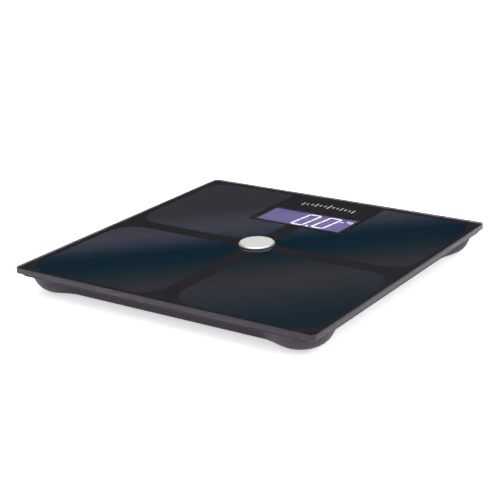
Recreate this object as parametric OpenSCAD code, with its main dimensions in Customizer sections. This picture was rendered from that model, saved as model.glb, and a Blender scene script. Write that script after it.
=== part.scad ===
// Digital bathroom scale without batteries: a clear glass platform printed on its underside,
// glued to a moulded tray that stands on four load cells. A round foot button in the middle
// drives a small generator through a rack and gears, and a backlit display shows the weight.
// Frame: millimetres, +Z up, +X to the user's right, +Y towards the display edge.
// The origin is on the floor, under the middle of the platform.

/* [Platform] */
// Side of the square glass platform
glass_side = 300; // [290:1:320]
// Thickness of the glass
glass_t = 5; // [4.6:0.1:5.4]
// Plan radius of the glass corners
glass_corner_r = 5; // [3:0.5:8]
// Height of the top of the glass above the floor
glass_top_z = 25; // [25:0.1:25.4]

/* [Print] */
// Black margin between the tinted panels and the edge of the glass
print_margin = 7; // [5:0.5:12]
// Width of the black cross between the tinted panels
cross_w = 15.4; // [12:0.2:20]
// Radius of a panel corner next to a corner of the glass
panel_outer_r = 22; // [10:1:30]
// Radius of a panel corner next to the middle of an edge
panel_edge_r = 26; // [10:1:30]
// Radius of a panel corner next to the foot button
panel_inner_r = 17; // [10:1:24]
// Width of the black field around the display
field_w = 101; // [98:1:110]

/* [Tray] */
// How far the tray wall stands in from the edge of the glass
tray_inset = 16; // [14:0.5:18]
// Height of the flat underside of the tray above the floor
tray_z = 3.8; // [3.6:0.1:4]
// Plan radius of the tray corners
tray_corner_r = 31; // [26:1:34]
// Thickness of the tray floor
floor_t = 2; // [1.8:0.1:2.2]
// Thickness of the tray walls
wall_t = 2; // [1.6:0.1:2.2]
// Distance from the edge of the glass to the middle of a foot pod
pod_inset = 30.2; // [30:0.1:31]
// Radius of a foot pod where it meets its rounded underside
pod_r = 23.7; // [23.4:0.1:24]
// Height of the underside of a foot pod above the floor
pod_z = 1.6; // [1.5:0.1:1.7]

/* [Foot button] */
// Radius of the metal disc
cap_r = 15.9; // [15:0.1:16.5]
// How far the disc stands above the glass, which is also its travel
cap_lift = 2.2; // [1.6:0.1:2.2]
// Gap between the disc and the hole in the glass
cap_gap = 0.4; // [0.3:0.1:1]

/* [Display] */
// Width of the display window
display_w = 92.5; // [90:0.5:94]
// Height of the display window
display_h = 40; // [38:0.5:41]
// Distance from the middle of the platform to the middle of the display
display_y = 84.2; // [83:0.1:85]
// Height of a digit
digit_h = 32; // [30:0.5:34]

/* [Gears] */
// Module of the generator gears
gear_m = 0.6; // [0.6:0.01:0.6]
// Teeth of a large gear
gear_teeth = 17; // [17:1:17]
// Teeth of the small pinions
pinion_teeth = 8; // [8:1:8]
// Teeth of the pinion that the rack turns
rack_pinion_teeth = 10; // [10:1:10]

/* [Hidden] */
$fn = 64;
eps = 0.01;

// Layers under the glass, from the top down
glass_z = glass_top_z - glass_t;
mask_t = 0.15;
foil_t = 0.15;
tape_t = 0.2;
foil_z = glass_z - mask_t - foil_t;
tray_top = foil_z - tape_t;

// Tray and pods
tray_half = glass_side / 2 - tray_inset;
tray_fillet = 3;
floor_z = tray_z + floor_t;
flange_t = 0.7;
flange_half = glass_side / 2 - 0.6;
flange_r = 14;
pod_c = glass_side / 2 - pod_inset;
pod_fillet = 13.6;
pod_flare = 0.24;
blend_r = 9;
rib_t = 1.6;
rib_pos = 55;
rib_top = tray_top - 0.1;

// Feet and load cells
foot_r = 9.9;
foot_hole_r = 10.2;
foot_flange_r = 11.8;
foot_travel = 0.4;
pad_r = 9.2;
cell_side = 28;
cell_t = 1.6;
cell_z = 7.45;
cell_boss_pos = 17.2;
holder_t = 1.5;
screw_r = 1.1;
pilot_r = 1.15;

// Display and board
bezel_lip = 0.4;
bezel_top = foil_z - 0.05;
bezel_w = display_w + 4;
bezel_h = display_h + 4;
bezel_rim = 2.2;
board_z = 10.4;
board_t = 1.6;
board_half = 52;
board_low = 59.5;
board_high = 108.5;
board_boss_x = 49;
board_boss_low = 62.6;
board_boss_high = 105.4;
lcd_t = 1.65;
lcd_z = bezel_top - bezel_lip - lcd_t;
light_t = 3.4;
digit_w = 14;
digit_stroke = 2.2;
digit_slant = 7.5;

// Foot button, rack and gears
button_plate_t = 1.5;
cap_t = 1.3;
cap_z = glass_top_z + cap_lift - cap_t;
skirt_z = glass_top_z - 2.8;
stem_r = 2.8;
guide_r = 4.2;
gear_axis_z = 13;
tooth_pitch = PI * gear_m;
rack_pitch_r = rack_pinion_teeth * gear_m / 2;
stage = (gear_teeth + pinion_teeth) * gear_m / 2;
first_y = 12.2;
second_y = first_y + stage;
rotor_y = second_y + stage;
plate_x = 5.6;
plate_t = 1.4;
base_t = 1.2;
base_z = floor_z;
axle_r = 0.75;
shaft_r = 0.6;
can_r = 5.5;
can_x = plate_x + plate_t;
can_len = 14;

// Unit button under the tray
unit_x = -36;
unit_y = 95;
unit_r = 4;

CORNERS = ["front_left", "front_right", "back_left", "back_right"];

// ---------------------------------------------------------------- outlines

// Square with round corners, centred on the origin
module round_square(half, r) {
  square([2 * half, 2 * (half - r)], center = true);
  square([2 * (half - r), 2 * half], center = true);
  for (x = [-1, 1], y = [-1, 1])
    translate([x * (half - r), y * (half - r)]) circle(r, $fn = 96);
}

// Arc of points round a centre, from one angle to another
function arc(c, r, from, to, steps = 12) =
  [for (i = [0:steps]) let(a = from + (to - from) * i / steps) c + r * [cos(a), sin(a)]];

// One tinted panel, drawn for the quadrant with +X and +Y
module panel_2d(cut_field) {
  near = cross_w / 2;
  far = glass_side / 2 - print_margin;
  difference() {
    polygon(concat(
      arc([near + panel_inner_r, near + panel_inner_r], panel_inner_r, 180, 270),
      arc([far - panel_edge_r, near + panel_edge_r], panel_edge_r, 270, 360),
      arc([far - panel_outer_r, far - panel_outer_r], panel_outer_r, 0, 90),
      arc([near + panel_edge_r, far - panel_edge_r], panel_edge_r, 90, 180)
    ));
    if (cut_field)
      translate([0, display_y - display_h / 2 - 3]) square([field_w / 2, glass_side]);
  }
}

module panels_2d() {
  for (x = [0, 1])
    mirror([x, 0]) {
      panel_2d(true);
      mirror([0, 1]) panel_2d(false);
    }
}

module window_2d() {
  translate([0, display_y]) square([display_w, display_h], center = true);
}

// Row of graduation marks above the display, longest in the middle
module dial_mark_2d() {
  mark_y = 126;
  marks = 6;
  for (i = [-marks:marks]) {
    long = i == 0 ? 11 : (i % 3 == 0 ? 8 : 4.5);
    translate([i * 4.6, mark_y - 0.07 * i * i]) square([1.5, long], center = true);
  }
}

// ---------------------------------------------------------------- tubes

function unit(v) = v / norm(v);
function heading(p, i) = unit(p[min(i + 1, len(p) - 1)] - p[max(i - 1, 0)]);
function sideways(t) = unit(cross(t, [0, 0, 1]));

// Route through hand-set points, rounded between them
function spline(a, b, c, d, t) =
  0.5 * (2 * b + (c - a) * t + (2 * a - 5 * b + 4 * c - d) * t * t + (3 * b - a - 3 * c + d) * t * t * t);
function rounded(p, steps) = [
  for (i = [0:len(p) - 2], k = [0:steps - 1])
    spline(p[max(i - 1, 0)], p[i], p[i + 1], p[min(i + 2, len(p) - 1)], k / steps),
  p[len(p) - 1]
];

// Round tube along a route
module tube(p, r, sides = 8) {
  n = len(p);
  rings = [
    for (i = [0:n - 1], k = [0:sides - 1])
      let(t = heading(p, i), s = sideways(t), u = cross(s, t), a = 360 * k / sides)
        p[i] + r * (cos(a) * s + sin(a) * u)
  ];
  walls = [
    for (i = [0:n - 2], k = [0:sides - 1])
      let(a = i * sides + k, b = i * sides + (k + 1) % sides)
        [a, a + sides, b + sides, b]
  ];
  caps = [[for (k = [0:sides - 1]) k], [for (k = [sides - 1:-1:0]) (n - 1) * sides + k]];
  polyhedron(rings, concat(walls, caps));
}

// ---------------------------------------------------------------- fasteners

// Pan-head screw with a cross slot, its head's underside at z = 0
module pan_screw(shaft_len, head_r = 2, head_t = 1.2) {
  difference() {
    cylinder(r = head_r, h = head_t);
    for (a = [0, 90])
      rotate(a) translate([0, 0, head_t]) cube([2 * head_r * 0.7, 0.5, 1.2], center = true);
  }
  translate([0, 0, -shaft_len]) cylinder(r = screw_r, h = shaft_len);
}

// Places a child at each of the four corners, drawn for the corner with +X and +Y
module at_corner(corner) {
  mirror([corner % 2 == 0 ? 1 : 0, 0, 0]) mirror([0, corner < 2 ? 1 : 0, 0])
    translate([pod_c, pod_c, 0]) children();
}

// ---------------------------------------------------------------- platform

module glass_platform() {
  color([0.75, 0.82, 0.85, 0.5])
    translate([0, 0, glass_z]) linear_extrude(glass_t) difference() {
      round_square(glass_side / 2, glass_corner_r);
      circle(cap_r + cap_gap, $fn = 128);
    }
}

module mask_print() {
  color([0.08, 0.08, 0.09])
    translate([0, 0, glass_z - mask_t]) linear_extrude(mask_t) difference() {
      round_square(glass_side / 2 - 0.3, glass_corner_r);
      circle(cap_r + cap_gap, $fn = 128);
      panels_2d();
      window_2d();
      dial_mark_2d();
    }
}

module tint_foil() {
  color([0.12, 0.2, 0.27])
    translate([0, 0, foil_z]) linear_extrude(foil_t) difference() {
      round_square(glass_side / 2 - 1, glass_corner_r);
      circle(cap_r + cap_gap, $fn = 128);
      window_2d();
    }
}

module dial_mark() {
  color("white") translate([0, 0, glass_z - mask_t]) linear_extrude(mask_t) dial_mark_2d();
}

module mounting_tape() {
  tape_w = 12;
  color([0.1, 0.1, 0.1])
    translate([0, 0, tray_top]) linear_extrude(tape_t) difference() {
      round_square(flange_half - 0.5, flange_r);
      round_square(flange_half - tape_w, flange_r);
    }
}

// ---------------------------------------------------------------- tray

// Radius of a pod's outside at a height; shell moves the surface inwards
function pod_radius(z, shell = 0) =
  let(
    rise = z - pod_z,
    straight = pod_r + pod_flare * rise,
    inner = pod_fillet - shell
  )
  rise >= pod_fillet ? straight - shell
    : straight - pod_fillet + sqrt(max(0, inner * inner - pow(pod_fillet - rise, 2)));

// Half side of the tray wall at a height, with its rounded lower edge
function tray_reach(z) =
  let(rise = z - tray_z)
  rise >= tray_fillet ? tray_half + 0.05 * (rise - tray_fillet)
    : tray_half - tray_fillet + sqrt(max(0, pow(tray_fillet, 2) - pow(tray_fillet - rise, 2)));

// Signed distance to the tray's rounded square, and to a pod, in plan
function square_gap(x, y, half, r) =
  let(qx = x - (half - r), qy = y - (half - r))
  norm([max(qx, 0), max(qy, 0)]) + min(max(qx, qy), 0) - r;
function blend(a, b) = min(a, b) - pow(max(blend_r - abs(a - b), 0), 2) / (4 * blend_r);
function tray_gap(d, a, z) =
  let(x = abs(d * cos(a)), y = abs(d * sin(a)))
  blend(square_gap(x, y, tray_reach(z), tray_corner_r), norm([x - pod_c, y - pod_c]) - pod_radius(z));

// Distance from the middle to the outline, found by halving
function outline_r(a, z, low, high, n) =
  n == 0 ? (low + high) / 2
    : let(m = (low + high) / 2)
      tray_gap(m, a, z) < 0 ? outline_r(a, z, m, high, n - 1) : outline_r(a, z, low, m, n - 1);

// Outside of the tray, pods blended into the walls
module tray_skin() {
  quarter = concat([0], [for (a = [30:1.5:60]) a]);
  turns = [for (q = [0:3], a = quarter) a + 90 * q];
  heights = [tray_z, tray_z + 0.4, tray_z + 1, tray_z + 1.9, tray_z + 3, 9, 12, 15.2, tray_top - flange_t / 2];
  n = len(turns);
  points = [
    for (z = heights, a = turns)
      let(d = outline_r(a, z, tray_half * 0.9, tray_half * 1.6, 22))
        [d * cos(a), d * sin(a), z]
  ];
  low_mid = len(points);
  ends = [[0, 0, heights[0]], [0, 0, heights[len(heights) - 1]]];
  top_ring = low_mid - n;
  walls = [
    for (i = [0:len(heights) - 2], k = [0:n - 1])
      let(a = i * n + k, b = i * n + (k + 1) % n)
        [a, a + n, b + n, b]
  ];
  caps = [
    for (k = [0:n - 1])
      each [[low_mid, k, (k + 1) % n], [low_mid + 1, top_ring + (k + 1) % n, top_ring + k]]
  ];
  polyhedron(concat(points, ends), concat(walls, caps));
}

// Round underside of one pod, below the flat of the tray
module pod_dish() {
  rise = tray_z - pod_z;
  steps = 6;
  seam = 0.15;
  rotate_extrude($fn = 96)
    polygon(concat(
      [[0, tray_z + 0.3], [0, pod_z]],
      [for (i = [0:steps]) let(z = pod_z + rise * pow(i / steps, 2)) [pod_radius(z) - seam, z]],
      [[pod_radius(tray_z) - seam, tray_z + 0.3]]
    ));
}

// Hollow of one pod
module pod_hollow() {
  low = pod_z + wall_t;
  steps = 8;
  rotate_extrude($fn = 96)
    polygon(concat(
      [[0, tray_top + 1], [0, low]],
      [for (i = [0:steps]) let(z = low + (pod_fillet - wall_t) * pow(i / steps, 2)) [pod_radius(z, wall_t), z]],
      [[pod_radius(tray_top, wall_t), tray_top + 1]]
    ));
}

// Ledge and bosses that carry one load cell and its holder
module pod_inside() {
  ledge_r = 12.8;
  boss_r = 2.6;
  translate([0, 0, floor_z - 1]) difference() {
    cylinder(r = 22, h = cell_z - floor_z + 1);
    translate([0, 0, -1]) cylinder(r = ledge_r, h = 10);
  }
  for (a = [0, 90, 180, 270])
    rotate(a) translate([cell_boss_pos, 0, floor_z - 1]) cylinder(r = boss_r, h = cell_z + cell_t - floor_z + 1);
}

module tray_ribs() {
  reach = tray_half - wall_t + 0.5;
  height = rib_top - floor_z + 0.5;
  notch = 10;
  difference() {
    for (s = [-1, 1]) {
      translate([-reach, s * rib_pos - rib_t / 2, floor_z - 0.5]) cube([2 * reach, rib_t, height]);
      translate([s * rib_pos - rib_t / 2, -reach, floor_z - 0.5]) cube([rib_t, 2 * reach, height]);
    }
    for (s = [-1, 1]) {
      // Wire ways for the front load cells
      for (y = [-rib_pos, rib_pos])
        translate([s * 75 - notch / 2, y - 2, floor_z]) cube([notch, 4, 5]);
      // Wire ways onto the board
      translate([s * rib_pos - 2, 70, floor_z]) cube([4, 22, 9.5]);
    }
    // Wire way from the generator
    translate([8, rib_pos - 2, floor_z]) cube([18, 4, 9.5]);
  }
}

module tray_bosses() {
  for (x = [-1, 1], y = [board_boss_low, board_boss_high])
    translate([x * board_boss_x, y, floor_z - 0.5]) cylinder(r = 2.7, h = board_z - floor_z + 0.5);
  // Collar round the unit button's flange
  translate([unit_x, unit_y, floor_z - 0.5]) difference() {
    cylinder(r = 6.9, h = 2.2);
    translate([0, 0, -1]) cylinder(r = 5.7, h = 5);
  }
}

// Pilot holes, foot holes and the hole of the unit button
module tray_holes() {
  for (c = [0:3])
    at_corner(c) {
      translate([0, 0, pod_z - 2]) cylinder(r = foot_hole_r, h = 6);
      for (a = [0, 180])
        rotate(a) translate([cell_boss_pos, 0, floor_z]) cylinder(r = pilot_r, h = 10, $fn = 32);
    }
  for (x = [-1, 1], y = [board_boss_low, board_boss_high])
    translate([x * board_boss_x, y, floor_z - 1]) cylinder(r = pilot_r, h = 8, $fn = 32);
  for (p = frame_screw_spots())
    translate([p[0], p[1], tray_z + 0.5]) cylinder(r = pilot_r, h = 3, $fn = 32);
  translate([unit_x, unit_y, tray_z - 1]) cylinder(r = unit_r + 0.15, h = 4);
}

module base_tray() {
  color([0.44, 0.4, 0.45]) difference() {
    union() {
      tray_skin();
      for (c = [0:3]) at_corner(c) pod_dish();
      translate([0, 0, tray_top - flange_t]) linear_extrude(flange_t) round_square(flange_half, flange_r);
    }
    difference() {
      union() {
        translate([0, 0, floor_z]) linear_extrude(20) round_square(tray_half - wall_t, tray_corner_r - wall_t);
        for (c = [0:3]) at_corner(c) pod_hollow();
      }
      for (c = [0:3]) at_corner(c) pod_inside();
      tray_ribs();
      tray_bosses();
    }
    tray_holes();
  }
}

// ---------------------------------------------------------------- feet and load cells

// Steel plate with a U-shaped slot that frees its middle tongue
module load_cell(corner) {
  half = cell_side / 2;
  slot = 1.4;
  color([0.72, 0.72, 0.74])
    at_corner(corner) translate([0, 0, cell_z]) linear_extrude(cell_t) difference() {
      round_square(half, 6);
      difference() {
        round_square(8.6, 3);
        round_square(8.6 - slot, 2);
        translate([-4, 0]) square([8, 20]);
      }
      for (x = [-1, 1]) translate([x * 11, 0]) circle(1.2, $fn = 32);
    }
}

// Plastic ring that clamps the edge of a load cell
module cell_holder(corner) {
  color([0.85, 0.85, 0.83])
    at_corner(corner) translate([0, 0, cell_z + cell_t]) linear_extrude(holder_t) difference() {
      union() {
        circle(17, $fn = 96);
        for (a = [0, 180]) rotate(a) translate([cell_boss_pos, 0]) circle(2.8, $fn = 48);
      }
      circle(10.5, $fn = 96);
      for (a = [0, 180]) rotate(a) translate([cell_boss_pos, 0]) circle(pilot_r, $fn = 32);
    }
}

// Plastic foot that slides in its pod: skirt, flange that keeps it in, and dome under the cell
module foot_cap(corner) {
  low = 0.7;
  recess_top = 1.4;
  flange_z = pod_z + wall_t + 0.15;
  color([0.3, 0.3, 0.31])
    at_corner(corner) rotate_extrude($fn = 96)
      polygon([
        [0, recess_top], [pad_r, recess_top], [pad_r, low], [foot_r - 0.3, low], [foot_r, low + 0.3],
        [foot_r, flange_z], [foot_flange_r, flange_z], [foot_flange_r, flange_z + 0.8],
        [4.5, flange_z + 0.8], [3.6, cell_z - foot_travel - 1], [2.2, cell_z - foot_travel - 0.1],
        [0, cell_z - foot_travel - 0.05]
      ]);
}

// Rubber pad with two ring grooves in its sole
module foot_pad(corner) {
  color([0.16, 0.16, 0.17])
    at_corner(corner) difference() {
      cylinder(r = pad_r, h = 1.4, $fn = 96);
      for (r = [4, 6.8])
        translate([0, 0, -0.1]) difference() {
          cylinder(r = r + 0.4, h = 0.5);
          translate([0, 0, -0.1]) cylinder(r = r - 0.4, h = 0.8);
        }
    }
}

// Three wires from a load cell to the edge of the board, drawn for the right-hand side
FRONT_ROUTE = [
  [119.4, -115.2, 9.65], [118.2, -112.8, 10.3], [116.6, -111.2, 11.2], [113.6, -108.4, 11.8],
  [108, -103, 11.9], [99, -96, 11.4], [86, -86, 9], [76, -72, 7], [75, -50, 6.8],
  [75, 0, 6.8], [75, 48, 6.8], [73, 66, 7.2], [66, 75, 9], [58, 77, 12], [52, 77, 12.9], [49.5, 77, 12.7]
];
BACK_ROUTE = [
  [119.4, 115.2, 9.65], [117.8, 113, 10.3], [115.6, 111.6, 11.2], [111.6, 109.2, 11.8],
  [105, 105, 11.9], [96, 100, 11.4], [84, 93, 9], [72, 88, 8], [62, 86, 11],
  [55, 85, 12.8], [49.5, 85, 12.7]
];
module cell_wires(corner) {
  route = corner < 2 ? FRONT_ROUTE : BACK_ROUTE;
  spacing = 1.3;
  across = corner < 2 ? [1, 1, 0] : [0, 1, 0];
  tints = ["red", "white", "black"];
  mirror([corner % 2 == 0 ? 1 : 0, 0, 0])
    for (k = [-1:1])
      color(tints[k + 1])
        tube([for (p = rounded(route, 2)) p + spacing * k * across], 0.5);
}

module holder_screws() {
  color("silver")
    for (c = [0:3], a = [0, 180])
      at_corner(c) rotate(a) translate([cell_boss_pos, 0, cell_z + cell_t + holder_t]) pan_screw(4);
}

// ---------------------------------------------------------------- display and electronics

module display_bezel() {
  foot = 3;
  color([0.16, 0.14, 0.22]) difference() {
    translate([-bezel_w / 2, display_y - bezel_h / 2, board_z + board_t + 1.5])
      cube([bezel_w, bezel_h, bezel_top - board_z - board_t - 1.5]);
    translate([-bezel_w / 2 + 1.2, display_y - bezel_h / 2 + 1.2, board_z])
      cube([bezel_w - 2.4, bezel_h - 2.4, bezel_top - bezel_lip - board_z]);
    translate([0, display_y, bezel_top - 2]) linear_extrude(4)
      square([display_w - 2 * bezel_rim, display_h - 2 * bezel_rim], center = true);
  }
  color([0.16, 0.14, 0.22])
    for (x = [-1, 1], y = [-1, 1])
      translate([
        x * (bezel_w / 2 - foot / 2) - foot / 2,
        display_y + y * (bezel_h / 2 - 7) - foot / 2,
        board_z + board_t
      ])
        cube([foot, foot, 1.6]);
}

module lcd_panel() {
  color([0.42, 0.4, 0.56])
    translate([-bezel_w / 2 + 1.5, display_y - bezel_h / 2 + 1.5, lcd_z]) cube([bezel_w - 3, bezel_h - 3, lcd_t]);
}

module backlight() {
  ledge = 4;
  color([0.85, 0.85, 0.95])
    translate([-bezel_w / 2 + 1.5, display_y - bezel_h / 2 + 1.5 + ledge, lcd_z - light_t])
      cube([bezel_w - 3, bezel_h - 3 - ledge, light_t]);
}

// Contact pins from the board up to the edge of the display
module display_pins() {
  pins = 16;
  pin_pitch = 4;
  color("gold")
    for (i = [0:pins - 1])
      translate([(i - (pins - 1) / 2) * pin_pitch, display_y - bezel_h / 2 + 3.4, board_z + board_t])
        cylinder(r = 0.4, h = lcd_z - board_z - board_t, $fn = 24);
}

// Upright or level bar of a digit with pointed ends
module segment_2d(length) {
  h = length / 2;
  s = digit_stroke / 2;
  polygon([[-h, 0], [-h + s, s], [h - s, s], [h, 0], [h - s, -s], [-h + s, -s]]);
}

// Zero: all six outer bars, leaning to the right
module zero_2d() {
  gap = 0.25;
  long = (digit_h - digit_stroke) / 2 - gap;
  wide = digit_w - digit_stroke - gap;
  x = (digit_w - digit_stroke) / 2;
  y = (digit_h - digit_stroke) / 2;
  for (s = [-1, 1]) {
    translate([0, s * y]) segment_2d(wide);
    for (t = [-1, 1]) translate([s * x, t * y / 2]) rotate(90) segment_2d(long);
  }
}

// Straight stroke between two points
module stroke_2d(p, q, w) {
  translate(p) rotate(atan2(q[1] - p[1], q[0] - p[0])) translate([-w / 2, -w / 2]) square([norm(q - p) + w, w]);
}

// Small unit sign, kg, made of strokes in a cell 1 wide and 2 high per letter
module unit_sign_2d(size, w) {
  for (s = [[[0, 0], [0, 2]], [[0, 0.7], [0.9, 1.3]], [[0.35, 0.9], [0.9, 0]]])
    stroke_2d(s[0] * size, s[1] * size, w);
  for (s = [[[1.6, 1.3], [2.5, 1.3]], [[1.6, 0.2], [2.5, 0.2]], [[1.6, 0.2], [1.6, 1.3]],
            [[2.5, -0.7], [2.5, 1.3]], [[1.6, -0.7], [2.5, -0.7]]])
    stroke_2d(s[0] * size, s[1] * size, w);
}

module lean() {
  multmatrix([[1, tan(digit_slant), 0, 0], [0, 1, 0, 0], [0, 0, 1, 0]]) children();
}

module digit_segments() {
  first_x = -0.5;
  pitch = 22;
  point_side = 2.6;
  color("white")
    translate([0, display_y, lcd_z + lcd_t]) linear_extrude(0.1) {
      for (i = [0, 1])
        translate([first_x + pitch * i, 0]) lean() zero_2d();
      translate([first_x + pitch / 2 - 1.7, (point_side - digit_h) / 2 + 0.1]) square(point_side, center = true);
      translate([first_x + pitch + 16, 9.5]) unit_sign_2d(2.1, 0.75);
      translate([first_x + pitch + 11.5, 8.5]) square([4, 0.9], center = true);
    }
}

module main_board() {
  color([0.1, 0.35, 0.2])
    difference() {
      translate([-board_half, board_low, board_z]) cube([2 * board_half, board_high - board_low, board_t]);
      for (x = [-1, 1], y = [board_boss_low, board_boss_high])
        translate([x * board_boss_x, y, board_z - 1]) cylinder(r = pilot_r + 0.1, h = 4, $fn = 32);
    }
}

// Chip with leads on two sides, its body resting just above the board
module chip(x, y, w, d, pins) {
  lead_pitch = w / (pins + 1);
  translate([x, y, board_z + board_t]) {
    translate([-w / 2, -d / 2, 0.1]) cube([w, d, 1.1]);
    for (i = [1:pins], s = [-1, 1])
      translate([-w / 2 + i * lead_pitch - 0.2, s > 0 ? d / 2 - 0.1 : -d / 2 - 0.9, 0]) cube([0.4, 1, 0.35]);
  }
}

module controller_chip() {
  color([0.1, 0.1, 0.1]) chip(-14, 88, 12, 8, 12);
}

module amplifier_chip() {
  color([0.1, 0.1, 0.1]) chip(18, 88, 6, 4, 6);
}

module rectifier() {
  color([0.1, 0.1, 0.1]) chip(18, 76, 5, 4, 2);
}

// Two capacitors that hold the generated charge, lying on the tray floor
module storage_capacitors() {
  can_radius = 4.6;
  can_length = 18;
  color([0.1, 0.15, 0.3])
    for (x = [-34, -46])
      translate([x, 42, floor_z + can_radius]) rotate([90, 0, 0]) cylinder(r = can_radius, h = can_length);
}

module switch_body() {
  side = 6;
  low = 9;
  color([0.15, 0.15, 0.15])
    difference() {
      translate([unit_x - side / 2, unit_y - side / 2, low]) cube([side, side, board_z - low]);
      translate([unit_x, unit_y, low - 1]) cylinder(r = 1.75, h = board_z - low + 0.7);
    }
}

module switch_plunger() {
  color([0.8, 0.75, 0.6]) translate([unit_x, unit_y, 8.4]) cylinder(r = 1.65, h = 1.1);
}

module unit_button() {
  low = tray_z + 0.2;
  color([0.35, 0.35, 0.37])
    translate([unit_x, unit_y, 0]) {
      translate([0, 0, low]) cylinder(r = unit_r, h = floor_z - low + 0.2);
      translate([0, 0, floor_z + 0.05]) cylinder(r = 5.5, h = 0.9);
      translate([0, 0, floor_z + 0.5]) cylinder(r = 1.8, h = 8.4 - floor_z - 0.5);
    }
}

// Two wires from the generator to the board, one above the other at first and then side by side
POWER_ROUTE = [
  [22.9, 27.2, 13], [25, 28, 11.8], [25.5, 33, 8.5], [23, 40, 7.4], [18, 47, 7.4], [16, 52, 9.2],
  [16, 55.6, 11.4], [16, 58.2, 12.9], [16, 62, 12.75]
];
// Two wires from the capacitors to the board
CHARGE_ROUTE = [
  [-34, 43, 10.4], [-31, 46, 11.2], [-24, 48, 12], [-6, 48, 12], [6, 50, 11.4], [11, 54, 11.4],
  [12, 57.8, 12.9], [12, 62, 12.75]
];
module power_leads() {
  apart = 0.8;
  power = rounded(POWER_ROUTE, 2);
  last = len(power) - 1;
  for (k = [-1, 1])
    color(k < 0 ? "red" : "black") {
      tube([for (i = [0:last]) let(t = min(1, 2 * i / last)) power[i] + apart * k * [t, 0, 1 - t]], 0.5);
      tube([for (p = rounded(CHARGE_ROUTE, 2)) p + apart * k * [-1, 1, 0]], 0.5);
    }
}

module board_screws() {
  color("silver")
    for (x = [-1, 1], y = [board_boss_low, board_boss_high])
      translate([x * board_boss_x, y, board_z + board_t]) pan_screw(5.5);
}

// ---------------------------------------------------------------- foot button and generator

// Metal disc with a softened upper edge
module button_cap() {
  soft = 0.5;
  color([0.84, 0.86, 0.84])
    translate([0, 0, cap_z]) rotate_extrude($fn = 128)
      polygon(concat(
        [[0, 0], [cap_r - 0.15, 0], [cap_r, 0.15]],
        arc([cap_r - soft, cap_t - soft], soft, 0, 90, 5),
        [[0, cap_t]]
      ));
}

// Plastic plunger: plate and skirt, guide stem, rack and two snap legs
module button_carrier() {
  skirt_r = cap_r - 0.4;
  skirt_t = 1.6;
  plate_z = cap_z - button_plate_t;
  rack_low = 10.1;
  rack_back = 2;
  rack_root = first_y - rack_pitch_r - 1.15 * gear_m;
  color([0.12, 0.12, 0.13]) {
    translate([0, 0, plate_z]) cylinder(r = skirt_r, h = button_plate_t, $fn = 128);
    translate([0, 0, skirt_z]) difference() {
      cylinder(r = skirt_r, h = plate_z - skirt_z + eps, $fn = 128);
      translate([0, 0, -1]) cylinder(r = skirt_r - skirt_t, h = 10, $fn = 128);
    }
    translate([0, 0, 9.7]) cylinder(r = stem_r, h = plate_z - 9.7 + eps);
    translate([-1.4, rack_root - rack_back, rack_low]) cube([2.8, rack_back, plate_z - rack_low + eps]);
    // Teeth of the rack, one level with the gear axis
    for (k = [-1:2])
      translate([-1.4, rack_root, gear_axis_z + k * tooth_pitch]) rotate([90, 0, 90])
        linear_extrude(2.8) polygon([[-0.1, -0.46], [1.15 * gear_m + 0.8 * gear_m, -0.24],
          [1.15 * gear_m + 0.8 * gear_m, 0.24], [-0.1, 0.46]]);
    for (s = [-1, 1]) mirror([s < 0 ? 1 : 0, 0, 0]) {
      translate([12.4, -2.2, 9.4]) cube([1.4, 4.4, plate_z - 9.4 + eps]);
      translate([13.7, -2.2, 9.4]) cube([1, 4.4, 1.2]);
    }
  }
}

// Coil spring round the guide tube, between the frame and the button
module return_spring() {
  wire_r = 0.35;
  coil_r = 5;
  turns = 7;
  low = base_z + base_t + wire_r + 0.02;
  high = cap_z - button_plate_t - wire_r - 0.02;
  steps = 14 * turns;
  color("silver")
    tube([for (i = [0:steps])
      let(a = 360 * turns * i / steps) [coil_r * cos(a), coil_r * sin(a), low + (high - low) * i / steps]],
      wire_r, 6);
}

function frame_screw_spots() = [[-15, -12], [15, -12], [-15, 28], [14.5, 16]];

// Frame of the generator: base plate, guide tube, snap brackets, bearing plates and can cradle
module generator_frame() {
  plate_low = 8.6;
  plate_high = rotor_y + 6;
  hole_gap = 0.05;
  color([0.9, 0.9, 0.88]) difference() {
    union() {
      translate([-18.5, -15.5, base_z]) cube([43, 50, base_t]);
      translate([0, 0, base_z]) cylinder(r = guide_r, h = 9.5);
      for (s = [-1, 1]) {
        translate([s > 0 ? plate_x : -plate_x - plate_t, plate_low, base_z])
          cube([plate_t, plate_high - plate_low, 13]);
        translate([s > 0 ? 14.1 : -15.6, -4.5, base_z]) cube([1.5, 9, 8]);
      }
      translate([can_x + 2, rotor_y - 4, base_z]) cube([can_len - 4, 8, 4]);
    }
    translate([0, 0, base_z - 1]) cylinder(r = stem_r + hole_gap, h = 12);
    for (s = [-1, 1])
      translate([s * 14.8 - 2, -2.6, 6.4]) cube([4, 5.2, 4.3]);
    for (y = [first_y, second_y])
      translate([-10, y, gear_axis_z]) rotate([0, 90, 0]) cylinder(r = axle_r + hole_gap, h = 20);
    translate([-10, rotor_y, gear_axis_z]) rotate([0, 90, 0]) cylinder(r = shaft_r + hole_gap, h = 18);
    translate([can_x, rotor_y, gear_axis_z]) rotate([0, 90, 0]) cylinder(r = can_r + 0.05, h = 30);
    for (p = frame_screw_spots())
      translate([p[0], p[1], base_z - 1]) cylinder(r = pilot_r + 0.1, h = 4, $fn = 32);
    // Room for the far axle end beside the can
    translate([can_x, second_y - 2, gear_axis_z - 2]) cube([2, 4, 4]);
  }
}

module frame_screws() {
  color("silver")
    for (p = frame_screw_spots())
      translate([p[0], p[1], base_z + base_t]) pan_screw(2.5);
}

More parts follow.
